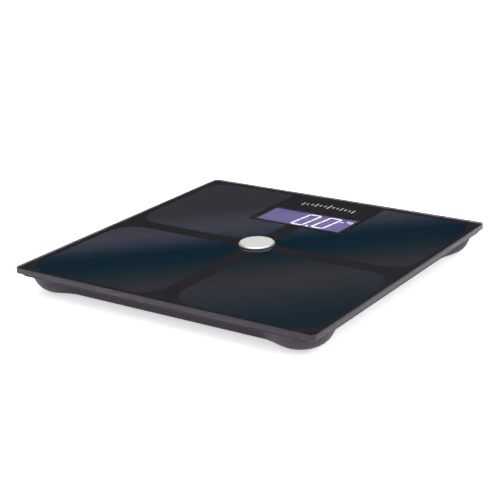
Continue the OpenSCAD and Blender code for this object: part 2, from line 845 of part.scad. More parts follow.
// Outline of a spur gear; a tooth is centred on +Y, or a gap if shift is half a tooth
module gear_2d(teeth, root_half, tip_half, shift = 0) {
  pitch_r = teeth * gear_m / 2;
  root = pitch_r - 1.15 * gear_m;
  tip = pitch_r + 0.8 * gear_m;
  polygon([
    for (i = [0:teeth - 1], p = [[root, -root_half], [tip, -tip_half], [tip, tip_half], [root, root_half]])
      let(a = 90 + 360 * (i + shift) / teeth + asin(p[1] / p[0]))
        [p[0] * cos(a), p[0] * sin(a)]
  ]);
}

// Gear across the X axis at a place along Y
module gear(y, x, width, teeth, small, shift, bore_r) {
  translate([x, y, gear_axis_z]) rotate([90, 0, 90]) linear_extrude(width) difference() {
    rotate(-90) gear_2d(teeth, small ? 0.38 : 0.46, small ? 0.2 : 0.24, shift);
    circle(bore_r, $fn = 48);
  }
}

module hub(y, x, width, bore_r) {
  translate([x, y, gear_axis_z]) rotate([0, 90, 0]) difference() {
    cylinder(r = 1.5, h = width);
    translate([0, 0, -1]) cylinder(r = bore_r, h = width + 2);
  }
}

module first_gear() {
  color("ivory") {
    gear(first_y, -1.6, 3.2, rack_pinion_teeth, true, 0.5, axle_r);
    gear(first_y, 2.5, 1.5, gear_teeth, false, 0, axle_r);
    hub(first_y, 1.5, 1.1, axle_r);
  }
}

module second_gear() {
  color("ivory") {
    gear(second_y, 2.3, 1.9, pinion_teeth, true, 0.5, axle_r);
    gear(second_y, -4, 1.5, gear_teeth, false, 0, axle_r);
    hub(second_y, -2.6, 5, axle_r);
  }
}

module axle(y) {
  color("silver") translate([-can_x, y, gear_axis_z]) rotate([0, 90, 0]) cylinder(r = axle_r, h = 2 * can_x);
}

module first_axle() {
  axle(first_y);
}

module second_axle() {
  axle(second_y);
}

module rotor_shaft() {
  shaft_length = 2 * can_x + can_len - 1;
  color("silver")
    translate([-can_x, rotor_y, gear_axis_z]) rotate([0, 90, 0])
      cylinder(r = shaft_r, h = shaft_length);
}

module rotor_pinion() {
  color([0.8, 0.65, 0.3]) gear(rotor_y, -4.2, 1.9, pinion_teeth, true, 0.5, shaft_r);
}

// Wound armature with three lobes
module rotor_armature() {
  color([0.75, 0.4, 0.2])
    translate([can_x + 2, rotor_y, gear_axis_z]) rotate([0, 90, 0]) linear_extrude(can_len - 5) difference() {
      union() {
        circle(2);
        for (a = [0, 120, 240]) rotate(a) translate([0, -0.9]) square([3.4, 1.8]);
      }
      circle(shaft_r, $fn = 48);
    }
}

module generator_magnets() {
  color([0.25, 0.25, 0.27])
    translate([can_x + 1.5, rotor_y, gear_axis_z]) rotate([0, 90, 0]) linear_extrude(can_len - 4)
      difference() {
        circle(can_r - 0.5);
        circle(3.8);
        square([3, 20], center = true);
      }
}

module generator_can() {
  color("silver")
    translate([can_x, rotor_y, gear_axis_z]) rotate([0, 90, 0]) difference() {
      cylinder(r = can_r, h = can_len, $fn = 96);
      translate([0, 0, 0.6]) cylinder(r = can_r - 0.5, h = can_len, $fn = 96);
      translate([0, 0, -1]) cylinder(r = shaft_r + 0.05, h = 5);
    }
}

module generator_end_cap() {
  color([0.15, 0.15, 0.15])
    translate([can_x + can_len, rotor_y, gear_axis_z]) rotate([0, 90, 0]) difference() {
      cylinder(r = can_r, h = 1.4, $fn = 96);
      translate([0, 0, -1]) cylinder(r = shaft_r + 0.05, h = 1.9);
    }
}

// ---------------------------------------------------------------- one line per node

glass_platform();
mask_print();
tint_foil();
dial_mark();
mounting_tape();
base_tray();
for (c = [0:3]) {
  load_cell(c);
  cell_holder(c);
  foot_cap(c);
  foot_pad(c);
  cell_wires(c);
}
display_bezel();
lcd_panel();
digit_segments();
backlight();
display_pins();
main_board();
controller_chip();
amplifier_chip();
rectifier();
storage_capacitors();
switch_body();
switch_plunger();
unit_button();
power_leads();
button_cap();
button_carrier();
return_spring();
generator_frame();
first_gear();
first_axle();
second_gear();
second_axle();
generator_can();
generator_end_cap();
generator_magnets();
rotor_shaft();
rotor_pinion();
rotor_armature();
board_screws();
frame_screws();
holder_screws();
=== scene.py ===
"""Finished look of a digital bathroom scale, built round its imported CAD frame."""

import logging
import math
import random
from dataclasses import dataclass, field
from enum import Enum
from typing import Callable, Optional, Sequence, Union

import bmesh
import bpy
from mathutils import Matrix, Vector


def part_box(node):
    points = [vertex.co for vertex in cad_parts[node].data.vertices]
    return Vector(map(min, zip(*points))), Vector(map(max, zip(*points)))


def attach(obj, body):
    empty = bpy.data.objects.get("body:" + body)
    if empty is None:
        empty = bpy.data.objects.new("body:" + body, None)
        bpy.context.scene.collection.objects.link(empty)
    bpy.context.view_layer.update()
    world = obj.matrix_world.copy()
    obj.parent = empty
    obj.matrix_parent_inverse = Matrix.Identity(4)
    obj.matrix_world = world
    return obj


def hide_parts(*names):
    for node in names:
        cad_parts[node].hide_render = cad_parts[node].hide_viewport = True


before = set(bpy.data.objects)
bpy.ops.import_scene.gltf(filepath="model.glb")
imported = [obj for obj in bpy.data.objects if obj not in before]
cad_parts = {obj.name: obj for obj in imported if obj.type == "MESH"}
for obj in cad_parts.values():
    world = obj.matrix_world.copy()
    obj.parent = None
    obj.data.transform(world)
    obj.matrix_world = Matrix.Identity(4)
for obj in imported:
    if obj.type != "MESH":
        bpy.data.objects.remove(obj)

LOG = logging.getLogger("scale")
MM = 0.001
Colour = tuple[float, float, float]
Point2 = tuple[float, float]
Size3 = tuple[float, float, float]
OPAQUE = 1.0
GLASS_IOR = 1.5


class Body(Enum):
    """CAD bodies that the finished pieces ride on."""

    BASE = "base"
    FOOT_BUTTON = "foot_button"


class Corner(Enum):
    """The four feet and load cells."""

    FRONT_LEFT = "front_left"
    FRONT_RIGHT = "front_right"
    BACK_LEFT = "back_left"
    BACK_RIGHT = "back_right"

    def node(self, part: str) -> str:
        """Name of this corner's CAD node for a part."""
        return f"{part}_{self.value}"

    def body(self) -> str:
        """Name of the body that this corner's foot moves with."""
        return f"foot_{self.value}"


# ------------------------------------------------------------------ shader toolkit


class Wire:
    """A shader socket whose operators add Math nodes."""

    def __init__(self, shader: "Shader", socket: bpy.types.NodeSocket) -> None:
        """Keeps an output socket with its tree.

        Args:
            shader: the tree that the socket is in.
            socket: the output socket.
        """
        self.shader = shader
        self.socket = socket

    def _math(self, operation: str, *values: Union["Wire", float]) -> "Wire":
        """Adds a Math node.

        Args:
            operation: Blender's name of the operation.
            values: its operands, in order.

        Returns:
            The node's result.
        """
        made = self.shader.node("ShaderNodeMath", {"operation": operation}, dict(enumerate(values)))
        return Wire(self.shader, made.outputs[0])

    def __add__(self, other: Union["Wire", float]) -> "Wire":
        """Sum of this value and another."""
        return self._math("ADD", self, other)

    __radd__ = __add__

    def __sub__(self, other: Union["Wire", float]) -> "Wire":
        """This value less another."""
        return self._math("SUBTRACT", self, other)

    def __rsub__(self, other: float) -> "Wire":
        """Another value less this one."""
        return self._math("SUBTRACT", other, self)

    def __mul__(self, other: Union["Wire", float]) -> "Wire":
        """Product of this value and another."""
        return self._math("MULTIPLY", self, other)

    __rmul__ = __mul__

    def __truediv__(self, other: Union["Wire", float]) -> "Wire":
        """This value divided by another."""
        return self._math("DIVIDE", self, other)

    def __pow__(self, other: float) -> "Wire":
        """This value to a power."""
        return self._math("POWER", self, other)

    def sine(self) -> "Wire":
        """Sine of this value in radians."""
        return self._math("SINE", self)

    def size(self) -> "Wire":
        """This value without its sign."""
        return self._math("ABSOLUTE", self)

    def step(self, low: float, high: float) -> "Wire":
        """Smooth step of this value.

        Args:
            low: the value that gives 0.
            high: the value that gives 1.

        Returns:
            The step, from 0 to 1.
        """
        made = self.shader.node(
            "ShaderNodeMapRange",
            {"interpolation_type": "SMOOTHSTEP"},
            {"Value": self, "From Min": low, "From Max": high},
        )
        return Wire(self.shader, made.outputs["Result"])


Value = Union[Wire, float, Sequence[float]]


class Shader:
    """A node tree with one way of adding nodes."""

    def __init__(self, tree: bpy.types.NodeTree) -> None:
        """Empties a tree and keeps it.

        Args:
            tree: the tree to fill; what it holds is removed.
        """
        self.tree = tree
        tree.nodes.clear()

    def node(
        self, kind: str, settings: Optional[dict] = None, inputs: Optional[dict] = None
    ) -> bpy.types.Node:
        """Adds a node, sets its settings first and its sockets next.

        Args:
            kind: Blender's type name of the node.
            settings: attributes of the node; stops are a ramp's (place, colour) pairs.
            inputs: values or wires by socket name or number.

        Returns:
            The new node.
        """
        made = self.tree.nodes.new(kind)
        for name, value in (settings or {}).items():
            if name == "stops":
                self._set_stops(made.color_ramp, value)
            else:
                setattr(made, name, value)
        for name, value in (inputs or {}).items():
            if isinstance(value, Wire):
                self.tree.links.new(value.socket, made.inputs[name])
            else:
                made.inputs[name].default_value = value
        return made

    @staticmethod
    def _set_stops(ramp: bpy.types.ColorRamp, stops: Sequence[tuple[float, Colour]]) -> None:
        """Gives a ramp its stops.

        Args:
            ramp: the ramp to fill.
            stops: (place, colour) pairs from 0 to 1.
        """
        while len(ramp.elements) > 1:
            ramp.elements.remove(ramp.elements[-1])
        ramp.elements[0].position = stops[0][0]
        ramp.elements[0].color = (*stops[0][1], OPAQUE)
        for place, colour in stops[1:]:
            ramp.elements.new(place).color = (*colour, OPAQUE)

    def wire(self, node: bpy.types.Node, output: Union[str, int] = 0) -> Wire:
        """An output of a node as a wire."""
        return Wire(self, node.outputs[output])

    def place(self) -> Wire:
        """The piece's own coordinates, in metres."""
        return self.wire(self.node("ShaderNodeTexCoord"), "Object")

    def axes(self) -> tuple[Wire, Wire, Wire]:
        """The piece's x, y and z as separate wires."""
        split = self.node("ShaderNodeSeparateXYZ", None, {0: self.place()})
        return self.wire(split, "X"), self.wire(split, "Y"), self.wire(split, "Z")

    def noise(self, scale: float, detail: float = 3.0, at: Optional[Wire] = None) -> Wire:
        """Noise from 0 to 1.

        Args:
            scale: features per metre.
            detail: octaves.
            at: where it is read; the piece's own coordinates if left out.

        Returns:
            The noise value.
        """
        inputs = {"Vector": at or self.place(), "Scale": scale, "Detail": detail, "Roughness": 0.55}
        return self.wire(self.node("ShaderNodeTexNoise", None, inputs), 0)

    def mix(self, share: Value, a: Value, b: Value) -> Wire:
        """Colour between a and b.

        Args:
            share: how much of b.
            a: colour at 0.
            b: colour at 1.

        Returns:
            The mixed colour.
        """
        settings = {"data_type": "RGBA"}
        inputs = {0: share, 6: self._rgba(a), 7: self._rgba(b)}
        return self.wire(self.node("ShaderNodeMix", settings, inputs), 2)

    @staticmethod
    def _rgba(colour: Value) -> Value:
        """A plain colour with alpha, or the wire as it is."""
        return colour if isinstance(colour, Wire) else (*colour, OPAQUE)

    def ramp(self, share: Wire, stops: Sequence[tuple[float, Colour]]) -> Wire:
        """Colour of a ramp at a value."""
        return self.wire(self.node("ShaderNodeValToRGB", {"stops": stops}, {"Fac": share}))

    def bump(self, height: Wire, depth: float, strength: float = 1.0) -> Wire:
        """Normal of a height pattern.

        Args:
            height: pattern from 0 to 1.
            depth: metres between 0 and 1.
            strength: share of the effect.

        Returns:
            The bent normal.
        """
        inputs = {"Height": height, "Distance": depth, "Strength": strength}
        return self.wire(self.node("ShaderNodeBump", None, inputs))


def shade(value: float) -> Colour:
    """Grey colour of one value."""
    return (value, value, value)


def times(colour: Colour, factor: float) -> Colour:
    """Colour multiplied by a number."""
    return tuple(part * factor for part in colour)


# ------------------------------------------------------------------ finishes


@dataclass(frozen=True)
class Finish:
    """Base of every finish: a name and one Principled surface."""

    name: str

    def surface(self, shader: Shader) -> dict:
        """Sockets of the Principled surface; each finish gives its own."""
        raise NotImplementedError

    def material(self) -> bpy.types.Material:
        """The finish's material, made once."""
        label = f"finish_{self.name}"
        found = bpy.data.materials.get(label)
        if found:
            return found
        made = bpy.data.materials.new(label)
        made.use_nodes = True
        shader = Shader(made.node_tree)
        surface = shader.node("ShaderNodeBsdfPrincipled", None, self.surface(shader))
        shader.node("ShaderNodeOutputMaterial", None, {"Surface": shader.wire(surface)})
        return made


@dataclass(frozen=True)
class ClearGlass(Finish):
    """Polished clear glass with the faintest wiping haze."""

    tint: Colour = (0.95, 0.985, 0.98)
    haze: float = 0.02

    def surface(self, shader: Shader) -> dict:
        """Smooth transmitting surface, hardly rougher in soft patches."""
        wiped = shader.noise(26.0, 4.0).step(0.45, 0.75)
        return {
            "Base Color": (*self.tint, OPAQUE),
            "Roughness": wiped * self.haze,
            "Transmission Weight": 1.0,
            "IOR": GLASS_IOR,
        }


@dataclass(frozen=True)
class GroundGlass(Finish):
    """Ground glass edge: frosted by the grinding wheel."""

    tint: Colour = (0.41, 0.345, 0.425)
    sheen: Colour = (0.92, 0.74, 0.95)
    shine: float = 0.3
    rough: float = 0.34
    grain: float = 2600.0
    grain_depth: float = 0.02 * MM

    def surface(self, shader: Shader) -> dict:
        """Frosted transmitting surface with a fine grain."""
        grain = shader.noise(self.grain, 2.0)
        return {
            "Base Color": (*self.tint, OPAQUE),
            "Roughness": self.rough + 0.16 * grain,
            "Transmission Weight": 1.0,
            "IOR": GLASS_IOR,
            "Specular IOR Level": self.shine,
            "Specular Tint": (*self.sheen, OPAQUE),
            "Normal": shader.bump(grain, self.grain_depth, 0.6),
        }


@dataclass(frozen=True)
class Print(Finish):
    """Flat printed layer under glass, its ink not quite even."""

    colour: Colour
    spread: float = 0.08

    def surface(self, shader: Shader) -> dict:
        """Even ink with slow density changes and fine grain."""
        density = shader.noise(14.0, 3.0) * 0.7 + shader.noise(900.0, 1.0) * 0.3
        thin, thick = times(self.colour, 1 - self.spread), times(self.colour, 1 + self.spread)
        colour = shader.mix(density, thin, thick)
        return {"Base Color": colour, "Roughness": 0.42 + 0.1 * density, "Specular IOR Level": 0.0}


@dataclass(frozen=True)
class PrintWithPaintedReflection(Finish):
    """Print in anthracite and deep blue, whose slanting lighter and bluer bands are painted
    reflection of the studio's light.

    The angle is in degrees. The reach is how far the bands go either way from the middle, in metres.
    """

    angle: float = 45.0
    reach: float = 0.215
    waver: float = 0.012
    grey: Colour = (0.064, 0.060, 0.072)
    pale: Colour = (0.090, 0.088, 0.116)
    blue: Colour = (0.010, 0.030, 0.052)

    def stops(self) -> list[tuple[float, Colour]]:
        """Stops of the colour ramp.

        Returns:
            (place, colour) pairs; the bands are listed by metres across them and put between 0 and 1.
        """
        # The anthracite and blue are the print's own colours; their banding across the platform is
        # painted reflection.
        bands = [
            (-0.210, self.grey),
            (-0.110, self.grey),
            (-0.080, times(self.pale, 0.93)),
            (-0.055, self.pale),
            (-0.038, (0.063, 0.073, 0.104)),
            (-0.020, (0.026, 0.046, 0.071)),
            (-0.005, self.blue),
            (0.012, self.blue),
            (0.030, (0.017, 0.035, 0.050)),
            (0.060, (0.043, 0.050, 0.062)),
            (0.088, self.grey),
            (0.110, (0.052, 0.056, 0.070)),
            (0.140, (0.033, 0.045, 0.061)),
            (0.175, (0.016, 0.033, 0.047)),
            (0.210, (0.021, 0.032, 0.041)),
        ]
        return [((across + self.reach) / (2 * self.reach), colour) for across, colour in bands]

    def surface(self, shader: Shader) -> dict:
        """Bands of painted reflection across the platform, with a slight unevenness."""
        x, y, _ = shader.axes()
        slant = math.radians(self.angle)
        across = x * math.sin(slant) - y * math.cos(slant)
        uneven = (shader.noise(9.0, 2.0) - 0.5) * self.waver
        share = (across + uneven + self.reach) / (2 * self.reach)
        return {
            "Base Color": shader.ramp(share, self.stops()),
            "Roughness": 0.4 + 0.12 * shader.noise(700.0, 1.0),
            "Specular IOR Level": 0.0,
        }


@dataclass(frozen=True)
class MouldedPlastic(Finish):
    """Injection-moulded plastic with a spark-eroded grain, its depth in millimetres."""

    colour: Colour
    rough: float = 0.5
    grain: float = 1500.0
    depth: float = 0.02
    shine: float = 0.5

    def surface(self, shader: Shader) -> dict:
        """Fine grain, slow flow marks and slight scuffing."""
        fine = shader.noise(self.grain, 2.0)
        flow = shader.noise(22.0, 4.0)
        scuff = shader.noise(160.0, 5.0).step(0.6, 0.8)
        base = shader.mix(flow, times(self.colour, 0.92), times(self.colour, 1.08))
        colour = shader.mix(scuff * 0.18, base, times(self.colour, 1.5))
        return {
            "Base Color": colour,
            "Roughness": self.rough + 0.08 * fine + 0.08 * scuff,
            "Specular IOR Level": self.shine,
            "Normal": shader.bump(fine, self.depth * MM, 0.7),
        }


@dataclass(frozen=True)
class Rubber(Finish):
    """Soft rubber with a dusty, slightly mottled skin."""

    colour: Colour
    grain_depth: float = 0.015 * MM

    def surface(self, shader: Shader) -> dict:
        """Matt skin with dust in soft patches."""
        dust = shader.noise(240.0, 5.0).step(0.5, 0.8)
        grain = shader.noise(3200.0, 2.0)
        return {
            "Base Color": shader.mix(dust * 0.4, self.colour, times(self.colour, 2.4)),
            "Roughness": 0.72 + 0.15 * dust,
            "Normal": shader.bump(grain, self.grain_depth, 0.8),
        }


@dataclass(frozen=True)
class TurnedMetal(Finish):
    """Metal faced on a lathe: fine rings round the vertical axis."""

    colour: Colour
    rough: float = 0.36
    rings: float = 9000.0
    metal: float = 0.6
    ring_depth: float = 0.004 * MM

    def surface(self, shader: Shader) -> dict:
        """Rings of changing sheen that follow the radius."""
        x, y, _ = shader.axes()
        radius = (x * x + y * y) ** 0.5
        at = shader.node("ShaderNodeCombineXYZ", None, {"X": radius})
        ring = shader.noise(self.rings, 2.0, shader.wire(at))
        blotch = shader.noise(60.0, 3.0)
        tone = ring * 0.6 + blotch * 0.4
        return {
            "Base Color": shader.mix(tone, times(self.colour, 0.9), times(self.colour, 1.06)),
            "Metallic": self.metal,
            "Roughness": self.rough + 0.1 * ring,
            "Normal": shader.bump(ring, self.ring_depth, 0.5),
        }


@dataclass(frozen=True)
class Steel(Finish):
    """Rolled or drawn metal with fine streaks."""

    colour: Colour
    rough: float = 0.3
    streaks: Size3 = (400.0, 4000.0, 4000.0)

    def surface(self, shader: Shader) -> dict:
        """Streaks along the piece's x."""
        inputs = {"Vector": shader.place(), "Scale": self.streaks}
        mapped = shader.node("ShaderNodeMapping", None, inputs)
        streak = shader.noise(1.0, 3.0, shader.wire(mapped))
        return {
            "Base Color": shader.mix(streak, times(self.colour, 0.82), times(self.colour, 1.08)),
            "Metallic": 1.0,
            "Roughness": self.rough + 0.14 * streak,
        }


@dataclass(frozen=True)
class DisplayGlow(Finish):
    """Backlit display: violet light, paler towards the lamps at its two ends. Sizes in metres."""

    middle_y: float
    half_w: float
    half_h: float
    face: Colour = (0.02, 0.018, 0.04)
    violet: Colour = (0.24, 0.175, 0.47)
    lamp: Colour = (0.48, 0.44, 0.62)
    cool: Colour = (0.21, 0.21, 0.37)

    def surface(self, shader: Shader) -> dict:
        """Light that changes over the display, and the dark face that it shines through."""
        x, y, _ = shader.axes()
        ends = (x.size() / self.half_w).step(0.84, 1.0) * 0.4
        belt = 1.0 - ((y - self.middle_y).size() / self.half_h).step(0.1, 0.9)
        left = 1.0 - (x / self.half_w).step(-0.9, 0.5)
        patchy = shader.noise(45.0, 2.0)
        body = shader.mix(belt * left * 0.8, self.violet, self.cool)
        cloudy = shader.mix(patchy * 0.25, body, times(self.violet, 0.8))
        lit = shader.mix(ends, cloudy, self.lamp)
        return {
            "Base Color": (*self.face, OPAQUE),
            "Roughness": 0.2 + 0.1 * patchy,
            "Emission Color": lit,
            "Emission Strength": 1.0,
        }


@dataclass(frozen=True)
class LitSegment(Finish):
    """White lit segment, a touch bluer in patches."""

    strength: float = 1.0
    face: Colour = (0.8, 0.8, 0.85)
    white: Colour = (1.0, 1.0, 1.0)
    bluish: Colour = (0.92, 0.94, 1.0)

    def surface(self, shader: Shader) -> dict:
        """Even white light."""
        lit = shader.mix(shader.noise(80.0, 1.0), self.white, self.bluish)
        return {
            "Base Color": (*self.face, OPAQUE),
            "Roughness": 0.3,
            "Emission Color": lit,
            "Emission Strength": self.strength,
        }


@dataclass(frozen=True)
class SolderMask(Finish):
    """Green board with copper tracks showing through the mask."""

    mask: Colour = (0.008, 0.07, 0.03)
    track: Colour = (0.03, 0.2, 0.08)
    track_depth: float = 0.03 * MM
    pitch: float = 2400.0

    def surface(self, shader: Shader) -> dict:
        """Tracks in a square pattern, brighter under the mask."""
        x, y, _ = shader.axes()
        lanes = (x * self.pitch + (y * 130.0).sine() * 2.0).sine().step(0.55, 0.75)
        rows = (y * self.pitch + (x * 90.0).sine() * 2.0).sine().step(0.7, 0.85)
        region = shader.noise(60.0, 1.0).step(0.45, 0.55)
        track = lanes * region + rows * (1.0 - region)
        return {
            "Base Color": shader.mix(track * 0.7, self.mask, self.track),
            "Roughness": 0.3 + 0.1 * track,
            "Normal": shader.bump(track, self.track_depth, 0.8),
        }


@dataclass(frozen=True)
class WireCover(Finish):
    """Plastic wire covering, red in some stretches and black in others."""

    red: Colour = (0.4, 0.02, 0.015)
    black: Colour = (0.03, 0.03, 0.03)

    def surface(self, shader: Shader) -> dict:
        """Colour by slow noise, with a soft gloss."""
        share = shader.noise(30.0, 1.0)
        stops = [(0.0, self.red), (0.48, self.red), (0.5, self.black), (1.0, self.black)]
        return {"Base Color": shader.ramp(share, stops), "Roughness": 0.35 + 0.1 * share}


class Palette:
    """Every finish of the scale, by the part it is for."""

    def __init__(self, display_y: float, half_w: float, half_h: float) -> None:
        """Mixes the finishes.

        Args:
            display_y: y of the middle of the display, in metres.
            half_w: half of its width.
            half_h: half of its depth.
        """
        self.glass = ClearGlass("clear_glass")
        self.ground_edge = GroundGlass("ground_glass_edge")
        self.black_print = Print("black_print", (0.038, 0.034, 0.038))
        self.print_with_painted_reflection = PrintWithPaintedReflection("print_with_painted_reflection")
        self.white_print = Print("white_print", (0.9, 0.9, 0.92), 0.03)
        self.tape = Rubber("foam_tape", (0.012, 0.012, 0.012))
        self.tray = MouldedPlastic("tray_plastic", (0.031, 0.022, 0.036), 0.5, shine=0.3)
        self.dark_plastic = MouldedPlastic("dark_plastic", (0.022, 0.022, 0.024), 0.4, 2200.0)
        self.light_plastic = MouldedPlastic("light_plastic", (0.62, 0.61, 0.57), 0.42, 2200.0)
        self.gear_plastic = MouldedPlastic("gear_plastic", (0.66, 0.63, 0.53), 0.36, 3000.0, 0.008)
        self.rubber = Rubber("foot_rubber", (0.03, 0.03, 0.032))
        self.disc = TurnedMetal("satin_disc", (0.66, 0.67, 0.65), 0.5)
        self.rim = TurnedMetal("polished_rim", (0.95, 0.95, 0.95), 0.26, 12000.0, 0.7)
        self.steel = Steel("bright_steel", (0.6, 0.6, 0.62))
        self.brass = Steel("brass", (0.78, 0.58, 0.26), 0.28)
        self.magnet = MouldedPlastic("sintered_magnet", (0.06, 0.06, 0.065), 0.55, 3000.0)
        self.winding = MouldedPlastic("winding", (0.42, 0.16, 0.05), 0.35, 1800.0, 0.06)
        self.display_frame = MouldedPlastic("display_frame", (0.026, 0.02, 0.052), 0.4, 2500.0, 0.005)
        self.display = DisplayGlow("display_glow", display_y, half_w, half_h)
        self.light_guide = MouldedPlastic("light_guide", (0.75, 0.76, 0.85), 0.3, 900.0, 0.01)
        self.segment = LitSegment("lit_segment")
        self.board = SolderMask("solder_mask")
        self.chip = MouldedPlastic("chip_body", (0.018, 0.018, 0.019), 0.45, 2600.0)
        self.sleeve = MouldedPlastic("capacitor_sleeve", (0.015, 0.025, 0.1), 0.25, 1200.0, 0.006)
        self.wires = WireCover("wire_cover")
        self.potting = Rubber("gauge_potting", (0.72, 0.72, 0.7))


# ------------------------------------------------------------------ pieces


def dress(node: str, finish: Finish) -> None:
    """Gives a CAD node a finish.

    Args:
        node: the node's name.
        finish: what it gets.
    """
    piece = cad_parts[node]
    if not piece.material_slots:
        piece.data.materials.append(finish.material())
    for slot in piece.material_slots:
        slot.material = finish.material()
    LOG.info("dressed %s with %s", node, finish.name)


def new_piece(
    name: str,
    mesh: bpy.types.Mesh,
    finishes: Sequence[Finish],
    body: str,
    replaces: Sequence[str] = (),
    crease: float = 30.0,
) -> bpy.types.Object:
    """Makes a finished piece from a mesh that is already in place.

    Args:
        name: the piece's name.
        mesh: its mesh, in the frame's coordinates.
        finishes: its materials, in the order of the mesh's indices.
        body: the body that it rides on.
        replaces: CAD nodes that it stands for.
        crease: edges sharper than this many degrees stay sharp.

    Returns:
        The piece's object.
    """
    if not mesh.materials:
        for finish in finishes:
            mesh.materials.append(finish.material())
    mesh.polygons.foreach_set("use_smooth", [True] * len(mesh.polygons))
    mesh.set_sharp_from_angle(angle=math.radians(crease))
    piece = bpy.data.objects.new(name, mesh)
    bpy.context.scene.collection.objects.link(piece)
    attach(piece, body)
    if replaces:
        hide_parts(*replaces)
    LOG.info("built %s: %d faces on %s", name, len(mesh.polygons), body)
    return piece


def to_mesh(bm: bmesh.types.BMesh, name: str) -> bpy.types.Mesh:
    """Turns an edit mesh into a mesh with outward normals, and frees it.

    Args:
        bm: the edit mesh.
        name: the mesh's name.

    Returns:
        The finished mesh.
    """
    bmesh.ops.recalc_face_normals(bm, faces=bm.faces)
    mesh = bpy.data.meshes.new(name)
    bm.to_mesh(mesh)
    bm.free()
    return mesh


def circle(radius: float, count: int) -> list[Point2]:
    """Points of a circle round the origin, anticlockwise."""
    angles = [2 * math.pi * k / count for k in range(count)]
    return [(radius * math.cos(a), radius * math.sin(a)) for a in angles]


def lathe(
    bm: bmesh.types.BMesh, profile: Sequence[Point2], centre: Vector, turns: int
) -> list[list]:
    """Turns a profile of (radius, z) round a vertical line into a closed surface.

    Args:
        bm: edit mesh that gets the faces.
        profile: points from one pole to the other; a radius of 0 makes a pole.
        centre: point of the line, of which x and y count.
        turns: points round.

    Returns:
        Faces of each stretch of the profile.
    """
    rings = []
    for radius, z in profile:
        if radius == 0:
            rings.append([bm.verts.new((centre.x, centre.y, z))])
            continue
        ring = circle(radius, turns)
        rings.append([bm.verts.new((centre.x + x, centre.y + y, z)) for x, y in ring])
    bands = []
    for low, high in zip(rings, rings[1:]):
        band = []
        for k in range(turns):
            start, end = low[k % len(low)], low[(k + 1) % len(low)]
            above, over = high[(k + 1) % len(high)], high[k % len(high)]
            corners = list(dict.fromkeys((start, end, above, over)))
            if len(corners) > 2:
                band.append(bm.faces.new(corners))
        bands.append(band)
    return bands


def rounded_square(half: float, radius: float, steps: int) -> list[Point2]:
    """Outline of a square with round corners, anticlockwise.

    Args:
        half: half side.
        radius: corner radius.
        steps: points per corner less one.

    Returns:
        The outline's points.
    """
    points = []
    for quarter in range(4):
        x = (half - radius) * (1 if quarter in (0, 3) else -1)
        y = (half - radius) * (1 if quarter < 2 else -1)
        for k in range(steps + 1):
            a = math.radians(90 * (quarter + k / steps))
            points.append((x + radius * math.cos(a), y + radius * math.sin(a)))
    return points


def soft_corner(radius: float, z: float, soft: float, steps: int = 5) -> list[Point2]:
    """Quarter round of a lathe profile, from the bottom face up to the wall.

    Args:
        radius: radius of the wall.
        z: height of the face.
        soft: radius of the round.
        steps: points less one.

    Returns:
        Profile points from the lower one to the upper one.
    """
    angles = [math.radians(90 * k / steps) for k in range(steps + 1)]
    inner, middle = radius - soft, z + soft
    return [(inner + soft * math.sin(a), middle - soft * math.cos(a)) for a in angles]


class GeometryTree:
    """A Geometry Nodes tree built in code, run once on an object and applied."""

    def __init__(self, name: str, inputs: Sequence[tuple[str, str, float]]) -> None:
        """Starts a tree with its named inputs.

        Args:
            name: the tree's name.
            inputs: name, socket type and default of each named input.
        """
        self.tree = bpy.data.node_groups.new(name, "GeometryNodeTree")
        face = self.tree.interface
        face.new_socket("Geometry", in_out="INPUT", socket_type="NodeSocketGeometry")
        self.keys = {}
        for label, kind, default in inputs:
            made = face.new_socket(label, in_out="INPUT", socket_type=kind)
            made.default_value = default
            self.keys[label] = made.identifier
        face.new_socket("Geometry", in_out="OUTPUT", socket_type="NodeSocketGeometry")
        self.start = self.tree.nodes.new("NodeGroupInput")
        self.end = self.tree.nodes.new("NodeGroupOutput")

    def node(
        self, kind: str, settings: Optional[dict] = None, inputs: Optional[dict] = None
    ) -> bpy.types.Node:
        """Adds a node.

        Args:
            kind: Blender's type name of the node.
            settings: attributes of the node, set first.
            inputs: values, or sockets to wire, by socket name or number.

        Returns:
            The new node.
        """
        made = self.tree.nodes.new(kind)
        for name, value in (settings or {}).items():
            setattr(made, name, value)
        for name, value in (inputs or {}).items():
            if isinstance(value, bpy.types.NodeSocket):
                self.tree.links.new(value, made.inputs[name])
            else:
                made.inputs[name].default_value = value
        return made

    def finish(self, geometry: bpy.types.NodeSocket, material: bpy.types.Material) -> None:
        """Ends the tree with Realize Instances and Set Material.

        Args:
            geometry: what the tree has made.
            material: what it is painted with.
        """
        real = self.node("GeometryNodeRealizeInstances", None, {"Geometry": geometry})
        inputs = {"Geometry": real.outputs[0], "Material": material}
        painted = self.node("GeometryNodeSetMaterial", None, inputs)
        self.tree.links.new(painted.outputs[0], self.end.inputs[0])

    def run(self, seed_mesh: bpy.types.Mesh, values: dict[str, float]) -> bpy.types.Mesh:
        """Applies the tree to a mesh.

        Args:
            seed_mesh: the mesh that goes in.
            values: values of the named inputs.

        Returns:
            A plain mesh of the result.
        """
        holder = bpy.data.objects.new("holder", seed_mesh)
        bpy.context.scene.collection.objects.link(holder)
        modifier = holder.modifiers.new("tree", "NODES")
        modifier.node_group = self.tree
        for label, value in values.items():
            modifier[self.keys[label]] = value
        graph = bpy.context.evaluated_depsgraph_get()
        made = bpy.data.meshes.new_from_object(holder.evaluated_get(graph), depsgraph=graph)
        holder.modifiers.remove(modifier)
        bpy.data.objects.remove(holder)
        return made


# ------------------------------------------------------------------ studio


